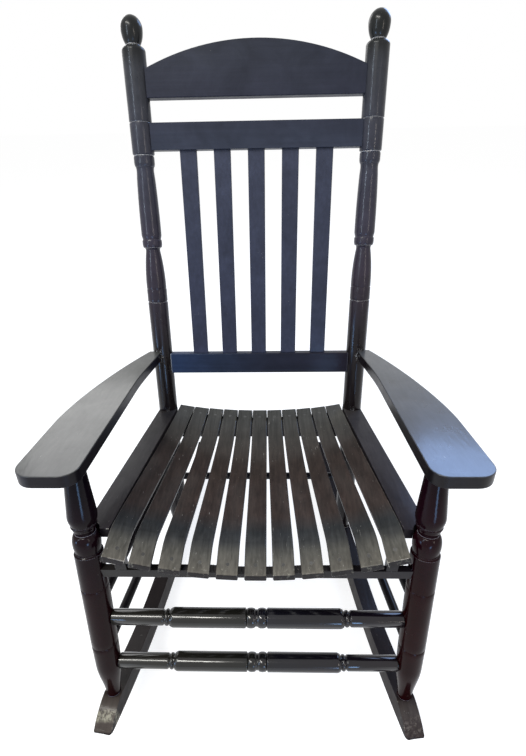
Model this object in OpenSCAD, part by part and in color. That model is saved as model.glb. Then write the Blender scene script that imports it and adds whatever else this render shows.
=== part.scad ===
// Slat back rocking chair, millimetres, +Z up, front towards -Y, floor at z = 0.
// Left is -X, right is +X. The seat-back crossing height and the leg axis are the two datums.

/* [Overall] */
// Distance between the two front leg axes
leg_spacing = 551.2; // [546:1:556]
// Distance between the two back post axes
post_spacing = 454; // [451:1:456]
// Backward lean of the back posts in degrees
post_lean = 8.9; // [8.4:0.1:9.4]
// Backward lean of the front legs in degrees
leg_lean = 10.4; // [10:0.1:10.8]
// Height of the finial tip above the seat joint, measured along the post
post_top = 778; // [775:1:800]

/* [Back] */
// Thickness of the crest and the back rails
back_rail_thick = 22; // [20:0.5:24]
// Width of the two straight back rails
back_rail_wide = 47.4; // [44:0.5:50]
// Peak height of the crest above its straight lower edge
crest_peak = 90; // [84:1:96]
// Height of the crest at its ends
crest_end = 48.5; // [46:0.5:52]
// Width of one back slat
back_slat_wide = 33.7; // [30:0.5:36]
// Thickness of one back slat
back_slat_thick = 10; // [8:0.5:12]
// Spacing of the back slats
back_slat_pitch = 68.15; // [66:0.5:70]

/* [Seat] */
// Width of one seat slat at the front
seat_slat_wide = 36.2; // [34:0.1:36.4]
// Thickness of one seat slat
seat_slat_thick = 12; // [10:0.5:12.5]
// Spacing of the seat slats at the front edge
front_pitch = 46; // [45.4:0.05:46.1]
// Spacing of the seat slats at the rear edge
rear_pitch = 36.6; // [36.4:0.1:36.7]
// How far the middle slat lies below the outer slats at the front
front_dish = 40; // [36:1:42]
// How far the middle slat lies below the outer slats at the rear
rear_dish = 13.5; // [10:0.5:15]
// Thickness of the side boards
board_thick = 20; // [18:0.5:22]
// Width of the side boards
board_wide = 41; // [38:0.5:41]
// Thickness of the straight front seat rail
front_rail_thick = 12; // [10:0.5:14]
// Thickness of the rear seat rail
rear_rail_thick = 24; // [22:0.5:26]

/* [Arms] */
// Thickness of the arms
arm_thick = 20; // [18:0.5:22]
// Height of the arm top at its front edge
arm_height = 594.5; // [590:1:600]
// Slope of the arms, falling towards the back, in degrees
arm_slope = 4.07; // [3.8:0.1:4.4]

/* [Legs and rungs] */
// Radius of the long cylinder of the front legs
leg_r = 23.4; // [22.8:0.1:24]
// Radius of the plain part of the back posts
post_r = 22.2; // [21.4:0.1:22.6]
// Radius of the thick middle part of the front rungs
rung_r = 16.5; // [15:0.25:18]
// Radius of the plain end parts of the front rungs
rung_end_r = 13.5; // [12.5:0.25:14]
// Radius of the plain side stretchers and the rear rung
dowel_r = 9; // [8.5:0.25:10]

/* [Rockers] */
// Radius of the curved underside
rocker_r = 1150; // [1050:10:1250]
// Thickness of the rocker plank
rocker_thick = 34; // [32:0.5:38]
// Depth of the rocker plank below the back posts
rocker_deep = 50; // [46:1:54]
// Rear end of the rockers, measured back from the leg datum
rocker_back_y = 678; // [666:2:690]

/* [Fits] */
// Radial clearance of a round tenon in its bore
tenon_gap = 0.1; // [0.05:0.05:0.2]
// Clearance on each side of a flat tenon or slat in its slot
slot_gap = 0.1; // [0.05:0.05:0.2]
// Gap left where two faces are seated against each other
seat_gap = 0.1; // [0.05:0.05:0.2]

/* [Hidden] */

$fn = 72;

// Black paint shades, only to tell the pieces apart in a preview
paint = [0.13, 0.13, 0.14];
paint_warm = [0.15, 0.12, 0.11];
steel = [0.45, 0.45, 0.46];

// Datums
leg_x = leg_spacing / 2;
leg_z = 440;
post_x = post_spacing / 2;
post_y = 419.5;
post_z = 412.6;
rocker_front_y = -128;
contact_y = 212;
// The chair is drawn level and then rolled back on its rockers to where its weight comes to rest
rest_tilt = 5.15;

// Back post, all heights measured along the post from the seat joint
post_foot = -357;
foot_taper = 62;
foot_r = 13;
foot_tenon_r = 10;
foot_tenon_long = 28;
post_groove_low = 260.5;
vase_bottom = 290;
vase_top = 369;
ring_r = 20.6;
low_neck_r = 15.2;
low_collar = 376;
low_collar_top = 391.5;
shaft_r = 21;
high_neck_r = 17.4;
high_neck = 522;
high_collar = 531;
high_collar_top = 550;
post_groove_high = 607.8;
shoulder = 722.5;
finial_neck = 732.5;
finial_neck_r = 13;
finial_wide = 757.5;
finial_r = 20;
groove_deep = 1.4;
groove_half = 2;

// Back rails
lower_rail_low = 92.7;
upper_rail_low = 559.3;
crest_low = 646.8;
rail_tenon_thick = 10;
rail_tenon_long = 15;
slat_in_slot = 12;
slat_count_back = 5;
crest_tenon_low = 5;
crest_tenon_high = 40;

// Front leg, all heights measured along the leg from its datum
arm_neck_r = 14.5;
vase_wide = 31;
vase_wide_r = 23.3;
leg_ring = 13.5;
leg_ring_r = 20.6;
leg_neck = -1.5;
leg_neck_r = 16;
ball_mid = -20.5;
ball_bottom = -37.5;
ball_r = 22.6;
leg_groove_high = -110.5;
leg_groove_low = -240;
leg_taper = -286;
leg_foot = -368;
leg_tenon_r = 9;
leg_tenon_long = 12;

// Seat slat profile, heights of the top surface
lip_y = -35;
lip_z = 375;
lip_slope = 0.36;
roll_start = -4;
roll_end = 26;
roll_slope = -0.08;
low_y = 325;
low_z = 372;
rise_y = 400;
rear_y = 442;
rear_z = 389;
rear_slope = 0.2;
outer_slope = 0.0;
half_count = 5;
seat_depth = rear_y - lip_y;
// The slats narrow a little towards the rear, and the outer ones stand closer at the front
slat_taper = 0.6;
outer_squeeze = 6;
slat_board_gap = 0.9;

// Seat rails and boards
nail_front_y = -18.5;
front_rail_y = nail_front_y - front_rail_thick / 2;
front_rail_low = 357;
front_rail_tall = 17.5;
front_tenon_low = 360;
front_tenon_high = 371;
front_tenon_thick = 7;
// Packing blocks lift the outer slats off the straight front rail, from this slat outwards
first_block = 3;
block_wide = 19;
block_shift = 0.3;
rear_tenon_thick = 12;
rear_rail_y = 405.5;
rear_rail_low = 332;
rear_rail_tall = 63;
rear_tenon_low = 340;
rear_tenon_high = 378;
seat_tenon_long = 16;
board_front_y = -3.8;
board_end_y = 4;
board_front_z = 440.4;
board_rear_z = 412.6;
board_front_x = 259.8;
board_rear_x = 224.6;
board_pin_r = 6;
board_pin_long = 14;

// Arms, s is the distance back from the front edge along the arm
arm_front_y = -47;
arm_inner = 240;
arm_outer = 332;
arm_rear_inner = 225.5;
arm_rear_outer = 254;
arm_pin_r = 6;
arm_pin_long = 17;
arm_pin_x = 232;
// The arm reaches past the front of the back post, and the front leg reaches up to the arm
arm_post_drop = 50;
arm_post_lap = 11.3;
arm_long = (post_y + (arm_height - arm_post_drop - post_z) * tan(post_lean) - arm_front_y - arm_post_lap) / cos(arm_slope);
leg_top = (arm_height - arm_thick / cos(arm_slope) + arm_front_y * tan(arm_slope) - leg_z)
    / (1 + tan(arm_slope) * tan(leg_lean)) / cos(leg_lean);

// Rungs
upper_rung_z = 260;
lower_rung_z = 156;
rung_main_half = 150;
rung_ring_wide = 11;
rung_tenon_r = 8;
rung_tenon_long = 18;
bead_half = 17;
upper_stretcher_z = 284;
lower_stretcher_z = 184;
rear_rung_z = 216;
dowel_tenon_r = 7;
dowel_tenon_long = 16;

// Rockers
rocker_leg_deep = 42;
rocker_tail_deep = 30;
rocker_steps = 44;

// Nails
nail_r = 1.2;
nail_head_r = 2.8;
nail_head_thick = 1.2;
nail_long = 26;

// Shared frames
module home() {
    translate([0, contact_y - middle_y, rocker_r + rest_lift]) rotate([-rest_tilt, 0, 0])
        translate([0, -contact_y, -rocker_r]) children();
}

module back_frame() {
    translate([0, post_y, post_z]) rotate([-post_lean, 0, 0]) children();
}

module post_frame(side) {
    translate([side * post_x, post_y, post_z]) rotate([-post_lean, 0, 0]) children();
}

module leg_frame(side) {
    translate([side * leg_x, 0, leg_z]) rotate([-leg_lean, 0, 0]) children();
}

module arm_frame() {
    translate([0, arm_front_y, arm_height]) rotate([-arm_slope, 0, 0]) children();
}

function leg_axis_y(z) = (z - leg_z) * tan(leg_lean);
function post_axis_y(z) = post_y + (z - post_z) * tan(post_lean);

// Outline helpers, each returns a run of radius and height pairs
function ease(h0, r0, h1, r1, n) =
    [for (i = [0 : n]) [r0 + (r1 - r0) * (1 - cos(180 * i / n)) / 2, h0 + (h1 - h0) * i / n]];
function swell(h0, r0, h1, r1, n) =
    [for (i = [0 : n]) [r0 + (r1 - r0) * sin(90 * i / n), h0 + (h1 - h0) * i / n]];
function bead(h0, h1, r0, r1, n) =
    [for (i = [0 : n]) [r0 + (r1 - r0) * sin(180 * i / n), (h0 + h1) / 2 - (h1 - h0) / 2 * cos(180 * i / n)]];
function groove(h, r) =
    [[r, h - groove_half], [r - groove_deep, h - groove_half * 0.3],
     [r - groove_deep, h + groove_half * 0.3], [r, h + groove_half]];
function egg(h0, h1, h2, r0, r1, n) = let (a = acos(r0 / r1)) concat(
    [for (i = [0 : n]) let (q = a * (1 - i / n)) [r1 * cos(q), h1 - (h1 - h0) * sin(q) / sin(a)]],
    [for (i = [1 : n]) [r1 * cos(90 * i / n), h1 + (h2 - h1) * sin(90 * i / n)]]);
// A collar with a round underside above a hollow, and a crisp top edge
function cup(h0, r0, h1, h2, r) = concat(
    [for (i = [0 : 4]) [r0 + (r - 1.6 - r0) * (1 - cos(22.5 * i)), h0 + (h1 - h0) * sin(22.5 * i)]],
    [for (i = [0 : 5]) [r - 1.4 + 1.4 * sin(18 * i), h1 + 0.2 + 1.3 * i]],
    [[r, h2 - 2], [r - 0.8, h2 - 0.4]]);
function smooth(u) = u <= 0 ? 0 : u >= 1 ? 1 : u * u * (3 - 2 * u);

// Turned back post
post_outline = concat(
    [[0, post_foot]],
    ease(post_foot, foot_r, post_foot + foot_taper, post_r, 8),
    groove(post_groove_low, post_r - 0.4),
    [[post_r - 0.6, vase_bottom - 2.2], [post_r - 2, vase_bottom - 1]],
    [for (i = [0 : 10]) let (u = i / 10)
        [post_r - 0.8 - (post_r - 0.8 - low_neck_r) * pow(u, 2.2), vase_bottom + (vase_top - vase_bottom) * u]],
    cup(vase_top + 2, low_neck_r, low_collar, low_collar_top, ring_r),
    [[ring_r - 1.6, low_collar_top + 1], [shaft_r - 1.8, low_collar_top + 2]],
    [for (i = [0 : 4]) [shaft_r - 1.5 + 1.5 * sin(22.5 * i), low_collar_top + 3 + 2 * i]],
    [for (i = [1 : 10]) let (u = 1 - i / 10)
        [high_neck_r + (shaft_r - high_neck_r) * pow(sin(90 * u), 0.7), high_neck - (high_neck - low_collar_top - 11) * u]],
    cup(high_neck + 2, high_neck_r, high_collar, high_collar_top, ring_r - 0.2),
    [[ring_r - 1.6, high_collar_top + 1.2], [post_r - 1.4, high_collar_top + 2.4], [post_r - 0.5, high_collar_top + 4]],
    groove(post_groove_high, post_r - 0.4),
    [for (i = [0 : 6]) [finial_neck_r + 0.6 + (post_r - 0.9 - finial_neck_r) * cos(15 * i),
        shoulder + (finial_neck - 2.5 - shoulder) * sin(15 * i)]],
    egg(finial_neck, finial_wide, post_top, finial_neck_r, finial_r, 12));

module turned_post() {
    rotate_extrude() polygon(post_outline);
    translate([0, 0, post_foot - foot_tenon_long]) cylinder(r = foot_tenon_r, h = foot_tenon_long + 1);
}

// Flat tenon on the end of a rail of the back, drawn in the back frame
module rail_tenon(side, low, high, grow) {
    x_in = post_x - post_r - 4;
    x_out = post_x - post_r + rail_tenon_long + grow;
    translate([side > 0 ? x_in : -x_out, -rail_tenon_thick / 2 - grow, low - grow])
        cube([x_out - x_in, rail_tenon_thick + 2 * grow, high - low + 2 * grow]);
}

module seat_tenon(side, axis_x, surface_r, y_mid, thick, low, high, grow) {
    x_in = axis_x - surface_r - 6;
    x_out = axis_x - surface_r + seat_tenon_long + grow;
    translate([side > 0 ? x_in : -x_out, y_mid - thick / 2 - grow, low - grow])
        cube([x_out - x_in, thick + 2 * grow, high - low + 2 * grow]);
}

// Round tenon along X that enters a post or leg, grow widens it into a bore
module side_pin(side, axis_x, surface_r, y, z, r, long, grow) {
    x_in = axis_x - surface_r - 3;
    x_out = axis_x - surface_r + long + grow;
    translate([side > 0 ? x_in : -x_out, y, z]) rotate([0, 90, 0]) cylinder(r = r + grow, h = x_out - x_in);
}

// Plain side stretcher from the leg to the post at one height
stretch_x = leg_x - post_x;
function stretch_run(z) = post_axis_y(z) - leg_axis_y(z);
function stretch_long(z) = sqrt(pow(stretch_run(z), 2) + pow(stretch_x, 2));
function stretch_turn(z) = atan(stretch_x / stretch_run(z));

module stretcher_frame(side, z) {
    translate([side * leg_x, leg_axis_y(z), z]) rotate([0, 0, side * stretch_turn(z)]) rotate([-90, 0, 0]) children();
}

module stretcher_ends(side, z, grow) {
    stretcher_frame(side, z) {
        translate([0, 0, leg_r - dowel_tenon_long - grow])
            cylinder(r = dowel_tenon_r + grow, h = dowel_tenon_long + 4 + grow);
        translate([0, 0, stretch_long(z) - post_r - 4])
            cylinder(r = dowel_tenon_r + grow, h = dowel_tenon_long + 4 + grow);
    }
}

module stretcher(side, z) {
    color(paint) home() {
        stretcher_ends(side, z, 0);
        difference() {
            stretcher_frame(side, z) translate([0, 0, leg_r - 6])
                cylinder(r = dowel_r, h = stretch_long(z) - leg_r - post_r + 12);
            leg_frame(side) translate([0, 0, leg_foot]) cylinder(r = leg_r + seat_gap, h = 330);
            post_frame(side) translate([0, 0, post_foot]) cylinder(r = post_r + seat_gap, h = 400);
        }
    }
}

// Seat slat shape, k runs from -5 to 5 across the seat
function mid_z(y) =
    y <= roll_start ? lip_z + (y - lip_y) * lip_slope :
    y <= roll_end ? roll_top(0) + lip_slope * (y - roll_start)
        + (roll_slope - lip_slope) / (2 * (roll_end - roll_start)) * pow(y - roll_start, 2) :
    y <= low_y ? curve(roll_end, roll_out, roll_slope, low_y, low_z, 0, y) :
    y <= rise_y ? curve(low_y, low_z, 0, rise_y, rear_z - rear_slope * (rear_y - rise_y), rear_slope, y) :
    rear_z - rear_slope * (rear_y - y);
function roll_top(d) = lip_z + (roll_start - lip_y) * lip_slope + d;
roll_out = roll_top(0) + (lip_slope + roll_slope) / 2 * (roll_end - roll_start);
function outer_z(y) =
    y <= roll_end ? mid_z(y) + front_dish :
    y <= rise_y ? curve(roll_end, roll_out + front_dish, roll_slope, rise_y,
        rear_z + rear_dish - outer_slope * (rear_y - rise_y), outer_slope, y) :
    rear_z + rear_dish - outer_slope * (rear_y - y);
function curve(y0, z0, s0, y1, z1, s1, y) =
    let (w = y1 - y0, t = (y - y0) / w)
    z0 * (2 * pow(t, 3) - 3 * t * t + 1) + s0 * w * (pow(t, 3) - 2 * t * t + t)
    + z1 * (3 * t * t - 2 * pow(t, 3)) + s1 * w * (pow(t, 3) - t * t);
function dish(y) = outer_z(y) - mid_z(y);
function slat_z(k, y) = mid_z(y) + dish(y) * pow(k / half_count, 2);
function pitch(y) = front_pitch + (rear_pitch - front_pitch) * (y - lip_y) / seat_depth;
function slat_x(k, y) = k * pitch(y) - (abs(k) == half_count ? sign(k) * outer_squeeze * (rear_y - y) / seat_depth : 0);
function slat_half(y) = (seat_slat_wide - slat_taper * (y - lip_y) / seat_depth) / 2;
function tilt(k, y) = atan(2 * k / pow(half_count, 2) * tilt_dish(y) / tilt_pitch(y));
function tilt_dish(y) = y <= roll_start ? front_dish : y >= rise_y ? dish(rise_y + 16) : dish(y);
function tilt_pitch(y) = y <= roll_start ? pitch(-15) : y >= rise_y ? pitch(rise_y + 16) : pitch(y);
function rise(k, y) = slat_z(k, y + 0.5) - slat_z(k, y - 0.5);
function slat_fan(k) = slat_x(k, rear_y) / seat_depth - slat_x(k, lip_y) / seat_depth;

// Stations along the slat: close together at the roll, wider along the sag, none over the rails
stations = concat(
    [lip_y],
    [for (i = [0 : 6]) roll_start + i * (roll_end - roll_start) / 6],
    [for (i = [1 : 8]) roll_end + i * (low_y - roll_end) / 8],
    [for (i = [1 : 4]) low_y + i * (rise_y - low_y) / 4],
    [rear_y]);
station_count = len(stations);

function flat_slope(k, y) =
    y <= roll_start ? lip_slope :
    y >= rise_y ? rear_slope + (outer_slope - rear_slope) * pow(k / half_count, 2) : rise(k, y);
function slat_corner(k, y, across, down) =
    let (a = tilt(k, y), slope = flat_slope(k, y), deep = down * seat_slat_thick * sqrt(1 + pow(slope * cos(a), 2)))
    [slat_x(k, y) + across * slat_half(y) * cos(a) + deep * sin(a), y,
     slat_z(k, y) + across * slat_half(y) * sin(a) - deep * cos(a)];

module seat_slat_shape(k) {
    points = [for (y = stations) each [slat_corner(k, y, -1, 0), slat_corner(k, y, 1, 0),
        slat_corner(k, y, 1, 1), slat_corner(k, y, -1, 1)]];
    sides = [for (i = [0 : station_count - 2]) for (c = [0 : 3]) let (d = (c + 1) % 4)
        each [[4 * i + c, 4 * i + 4 + c, 4 * i + d], [4 * i + d, 4 * i + 4 + c, 4 * i + 4 + d]]];
    last = 4 * (station_count - 1);
    polyhedron(points, concat([[0, 1, 2], [0, 2, 3]], sides, [[last + 2, last + 1, last], [last + 3, last + 2, last]]));
}

// Everything above the underside of one slat, at the front rail (end 0) or the rear rail (end 1)
module slat_cut(k, y, width) {
    a = tilt(k, y);
    g = cos(a) * flat_slope(k, y) - sin(a) * slat_fan(k);
    down = slat_corner(k, y, 0, 1);
    translate([down[0], y, down[2]]) rotate([atan(g), -a, 0])
        translate([-width / 2, -60, -seat_gap]) cube([width, 120, 120]);
}

module dish_cut(y, gap) {
    for (k = [-half_count : half_count]) slat_cut(k, y, gap / cos(tilt(k, y)) + 0.3);
}

// Nails stand square to the slat surface, one over each rail
nail_rear_y = rear_rail_y + rear_rail_thick / 2;

module nail(long, grow) {
    translate([0, 0, -long - grow]) cylinder(r = nail_r + grow, h = long + grow + 0.2, $fn = 24);
    translate([0, 0, -nail_head_thick - grow]) cylinder(r = nail_head_r + grow, h = nail_head_thick + grow, $fn = 24);
}

module nail_bore(long) {
    translate([0, 0, -long - 0.5]) cylinder(r = nail_r + 0.1, h = long + 2, $fn = 24);
    translate([0, 0, -nail_head_thick - 0.05]) cylinder(r = nail_head_r + 0.1, h = nail_head_thick + 2, $fn = 24);
}

module slat_nail_frame(k, y) {
    top = slat_corner(k, y, y < low_y ? -k * block_shift / slat_half(y) : 0, 0);
    a = tilt(k, y);
    g = cos(a) * flat_slope(k, y) - sin(a) * slat_fan(k);
    translate([top[0], y, top[2]]) rotate([atan(g), -a, 0]) children();
}

module seat_slat(index) {
    k = index - half_count - 1;
    color(paint) home() difference() {
        mirror([k < 0 ? 1 : 0, 0, 0]) seat_slat_shape(abs(k));
        slat_nail_frame(k, nail_front_y) nail_bore(nail_long);
        slat_nail_frame(k, nail_rear_y) nail_bore(nail_long);
        // The outer slats are planed along their outer edge to clear the side boards
        if (abs(k) == half_count) board_space(sign(k), slat_board_gap);
    }
}

module seat_nails() {
    color(steel) home() for (k = [-half_count : half_count]) {
        slat_nail_frame(k, nail_front_y) translate([0, 0, -0.1]) nail(nail_long, 0);
        slat_nail_frame(k, nail_rear_y) translate([0, 0, -0.1]) nail(nail_long, 0);
    }
}

// Seat rails
module front_rail_pins(side, grow) {
    seat_tenon(side, leg_x, leg_r, front_rail_y + front_rail_thick / 2, front_tenon_thick,
        front_tenon_low, front_tenon_high, grow);
}

module rear_rail_pins(side, grow) {
    seat_tenon(side, post_x, post_r, rear_rail_y + rear_rail_thick / 2, rear_tenon_thick,
        rear_tenon_low, rear_tenon_high, grow);
}

module front_seat_rail() {
    color(paint) home() {
        for (side = [-1, 1]) front_rail_pins(side, 0);
        difference() {
            translate([-leg_x, front_rail_y, front_rail_low])
                cube([2 * leg_x, front_rail_thick, front_rail_tall]);
            for (k = [1 - first_block : first_block - 1]) slat_cut(k, nail_front_y, front_pitch);
            for (side = [-1, 1]) leg_frame(side) translate([0, 0, -140]) cylinder(r = leg_r + seat_gap, h = 100);
            for (k = [-half_count : half_count]) slat_nail_frame(k, nail_front_y) nail_bore(nail_long);
        }
    }
}

// Packing blocks are numbered outwards, and each fills the space from the straight rail to its slat
module packing_block(side, number) {
    k = side * (first_block - 1 + number);
    top = slat_corner(k, nail_front_y, 0, 0);
    color(paint) home() difference() {
        translate([top[0] - k * block_shift - block_wide / 2, front_rail_y, front_rail_low + front_rail_tall + seat_gap])
            cube([block_wide, front_rail_thick, 2 * front_dish]);
        slat_cut(k, nail_front_y, seat_depth);
        slat_nail_frame(k, nail_front_y) nail_bore(nail_long);
    }
}

module rear_seat_rail() {
    color(paint) home() {
        for (side = [-1, 1]) rear_rail_pins(side, 0);
        difference() {
            translate([-post_x, rear_rail_y, rear_rail_low])
                cube([2 * post_x, rear_rail_thick, rear_rail_tall]);
            dish_cut(rise_y + 16, rear_pitch);
            for (side = [-1, 1])
                post_frame(side) translate([0, 0, -140]) cylinder(r = post_r + seat_gap, h = 240);
            for (side = [-1, 1]) board_space(side, seat_gap);
            for (k = [-half_count : half_count]) slat_nail_frame(k, nail_rear_y) nail_bore(nail_long);
        }
    }
}

// Side board, its frame lies on the top face at the front end of the centre line
board_run = post_y - board_front_y;
board_drop = atan((board_front_z - board_rear_z) / board_run);
board_turn = atan((board_front_x - board_rear_x) / board_run);

module board_frame(side) {
    translate([side * board_front_x, board_front_y, board_front_z])
        rotate([-board_drop, 0, side * board_turn]) children();
}

module board_space(side, gap) {
    board_frame(side) translate([-board_wide / 2 - gap, lip_y - board_thick, -board_thick - gap])
        cube([board_wide + 2 * gap, board_run + seat_depth, 3 * board_thick]);
}

module board_pins(side, grow) {
    leg_frame(side) translate([0, 0, board_pin_s]) rotate([-90, 0, 0])
        translate([-side * 2, 0, ball_r - board_pin_long - grow])
        cylinder(r = board_pin_r + grow, h = board_pin_long + 8 + grow);
    post_frame(side) translate([-side * 3, 0, -board_thick / 2]) rotate([90, 0, 0])
        translate([0, 0, post_r - board_pin_long - grow])
        cylinder(r = board_pin_r + grow, h = board_pin_long + 8 + grow);
}

board_pin_s = -10;

module seat_board(side) {
    color(paint) home() {
        board_pins(side, 0);
        difference() {
            board_frame(side) translate([-board_wide / 2, 0, -board_thick])
                cube([board_wide, board_run + 4, board_thick]);
            leg_frame(side) translate([0, 0, -60]) cylinder(r = ball_r + seat_gap, h = 140);
            post_frame(side) translate([0, 0, -60]) cylinder(r = post_r + seat_gap, h = 140);
            post_frame(side) translate([-60, 0, -100]) cube([120, 100, 200]);
            translate([-leg_spacing, board_front_y - 60, 0]) cube([2 * leg_spacing, board_end_y - board_front_y + 60, 2 * leg_z]);
        }
    }
}

// Back rails, crest and slats, drawn in the back frame
back_half = post_x - post_r + 6;

module post_cope(side) {
    translate([side * post_x, 0, 0]) cylinder(r = post_r + seat_gap, h = post_top);
}

module slat_slots(low) {
    for (k = [-2 : 2]) translate([k * back_slat_pitch - back_slat_wide / 2 - slot_gap, -back_slat_thick / 2 - slot_gap, low])
        cube([back_slat_wide + 2 * slot_gap, back_slat_thick + 2 * slot_gap, slat_in_slot + slot_gap + 10]);
}

module rail_pair_tenons(low, high, grow) {
    for (side = [-1, 1]) rail_tenon(side, low, high, grow);
}

module lower_rail_tenons(grow) {
    rail_pair_tenons(lower_rail_low + 7, lower_rail_low + back_rail_wide - 7, grow);
}

module upper_rail_tenons(grow) {
    rail_pair_tenons(upper_rail_low + 7, upper_rail_low + back_rail_wide - 7, grow);
}

module crest_tenons(grow) {
    rail_pair_tenons(crest_low + crest_tenon_low, crest_low + crest_tenon_high, grow);
}

module lower_back_rail() {
    color(paint) home() back_frame() {
        lower_rail_tenons(0);
        difference() {
            translate([-back_half, -back_rail_thick / 2, lower_rail_low])
                cube([2 * back_half, back_rail_thick, back_rail_wide]);
            for (side = [-1, 1]) post_cope(side);
            slat_slots(lower_rail_low + back_rail_wide - slat_in_slot - slot_gap);
        }
    }
}

module upper_back_rail() {
    color(paint) home() back_frame() {
        upper_rail_tenons(0);
        difference() {
            translate([-back_half, -back_rail_thick / 2, upper_rail_low])
                cube([2 * back_half, back_rail_thick, back_rail_wide]);
            for (side = [-1, 1]) post_cope(side);
            slat_slots(upper_rail_low - 10);
        }
    }
}

// The crest is a straight bar with an arched top
crest_chord = post_x - post_r;
crest_arc_r = (pow(crest_chord, 2) + pow(crest_peak - crest_end, 2)) / (2 * (crest_peak - crest_end));

module crest_rail() {
    color(paint) home() back_frame() {
        crest_tenons(0);
        difference() {
            intersection() {
                translate([-back_half, -back_rail_thick / 2, crest_low])
                    cube([2 * back_half, back_rail_thick, crest_peak + 1]);
                translate([0, 0, crest_low + crest_peak - crest_arc_r]) rotate([90, 0, 0])
                    cylinder(r = crest_arc_r, h = back_rail_thick + 2, center = true, $fn = 360);
            }
            for (side = [-1, 1]) post_cope(side);
        }
    }
}

module back_slat(index) {
    x = (index - 3) * back_slat_pitch;
    low = lower_rail_low + back_rail_wide - slat_in_slot;
    high = upper_rail_low + slat_in_slot;
    color(paint) home() back_frame() translate([x - back_slat_wide / 2, -back_slat_thick / 2, low])
        cube([back_slat_wide, back_slat_thick, high - low]);
}

// Back posts with every mortise and bore they need
module back_post(side) {
    color(paint_warm) home() difference() {
        post_frame(side) turned_post();
        back_frame() {
            lower_rail_tenons(slot_gap);
            upper_rail_tenons(slot_gap);
            crest_tenons(slot_gap);
        }
        rear_rail_pins(side, slot_gap);
        board_pins(side, tenon_gap);
        arm_pin(side, tenon_gap);
        stretcher_ends(side, upper_stretcher_z, tenon_gap);
        stretcher_ends(side, lower_stretcher_z, tenon_gap);
        side_pin(side, post_x, post_r, post_axis_y(rear_rung_z), rear_rung_z, dowel_tenon_r, dowel_tenon_long, tenon_gap);
    }
}

// Front legs
leg_outline = concat(
    [[0, leg_foot]],
    ease(leg_foot, foot_r, leg_taper, leg_r - 1, 10),
    groove(leg_groove_low, leg_r - 0.3),
    groove(leg_groove_high, leg_r),
    [[leg_r, ball_bottom - 3], [leg_r - 0.4, ball_bottom - 2.2], [leg_r - 2.6, ball_bottom - 1]],
    swell(ball_bottom, ball_r - 2.2, ball_mid, ball_r, 7),
    [for (i = [1 : 9]) [leg_neck_r + (ball_r - leg_neck_r) * cos(10 * i), ball_mid + (leg_neck - ball_mid) * sin(10 * i)]],
    ease(leg_neck + 0.5, leg_neck_r, leg_ring - 2.2, leg_ring_r - 1.2, 6),
    bead(leg_ring - 1.8, leg_ring + 1.8, leg_ring_r - 0.7, leg_ring_r + 0.2, 4),
    [[leg_ring_r - 0.6, leg_ring + 2.4]],
    swell(leg_ring + 3, leg_ring_r - 0.2, vase_wide, vase_wide_r, 8),
    [for (i = [1 : 14]) let (u = i / 14)
        [vase_wide_r - (vase_wide_r - arm_neck_r) * pow(u, 1.12) * (1.25 - 0.25 * u), vase_wide + (leg_top + 10 - vase_wide) * u]],
    [[0, leg_top + 10]]);

module arm_underside(gap) {
    arm_frame() translate([-leg_spacing, -leg_z, -arm_thick - gap]) cube([2 * leg_spacing, 3 * leg_z, leg_z]);
}

module arm_leg_pin(side, grow) {
    leg_frame(side) translate([0, 0, leg_top - 12]) cylinder(r = leg_tenon_r + grow, h = leg_tenon_long + 12 + grow);
}

module front_leg(side) {
    color(paint_warm) home() {
        difference() {
            union() {
                difference() {
                    leg_frame(side) {
                        rotate_extrude() polygon(leg_outline);
                        translate([0, 0, leg_foot - foot_tenon_long])
                            cylinder(r = foot_tenon_r, h = foot_tenon_long + 1);
                    }
                    arm_underside(seat_gap);
                }
                arm_leg_pin(side, 0);
            }
            front_rail_pins(side, slot_gap);
            board_pins(side, tenon_gap);
            stretcher_ends(side, upper_stretcher_z, tenon_gap);
            stretcher_ends(side, lower_stretcher_z, tenon_gap);
            for (z = [upper_rung_z, lower_rung_z])
                side_pin(side, leg_x, leg_r, leg_axis_y(z), z, rung_tenon_r, rung_tenon_long, tenon_gap);
        }
    }
}

// Arms
function arm_inner_x(s) =
    s <= 300 ? arm_inner : arm_inner - (arm_inner - arm_rear_inner) * smooth((s - 300) / (arm_long - 300 + 40)) ;
function arm_outer_x(s) =
    s <= 150 ? arm_outer :
    arm_outer - (arm_outer - arm_rear_outer) * pow((s - 150) / (arm_long - 150), 1.75)
        - 2.5 * sin(180 * (s - 150) / (arm_long - 150));
arm_corner = 30;
arm_steps = 24;
arm_outline = concat(
    [for (i = [0 : 6]) [arm_inner + 24 - 24 * cos(15 * i), 24 - 24 * sin(15 * i)]],
    [for (i = [0 : 8]) [arm_outer - arm_corner + arm_corner * sin(11.25 * i), arm_corner - arm_corner * cos(11.25 * i)]],
    [for (i = [1 : arm_steps]) let (s = 110 + (arm_long - 110) * i / arm_steps) [arm_outer_x(s), s]],
    [for (i = [0 : 10]) let (s = arm_long - (arm_long - 300) * i / 10) [arm_inner_x(s), s]]);

module arm_pin(side, grow) {
    arm_frame() translate([side * arm_pin_x, arm_long - 10 - arm_pin_long, -arm_thick / 2]) rotate([-90, 0, 0])
        cylinder(r = arm_pin_r + grow, h = 2 * arm_pin_long + 2 + grow);
}

module arm(side) {
    color(paint) home() {
        difference() {
            arm_frame() mirror([side < 0 ? 1 : 0, 0, 0]) translate([0, 0, -arm_thick])
                linear_extrude(height = arm_thick) polygon(arm_outline);
            post_frame(side) cylinder(r = post_r + seat_gap, h = 250);
            arm_leg_pin(side, tenon_gap);
        }
        arm_pin(side, 0);
    }
}

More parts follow.
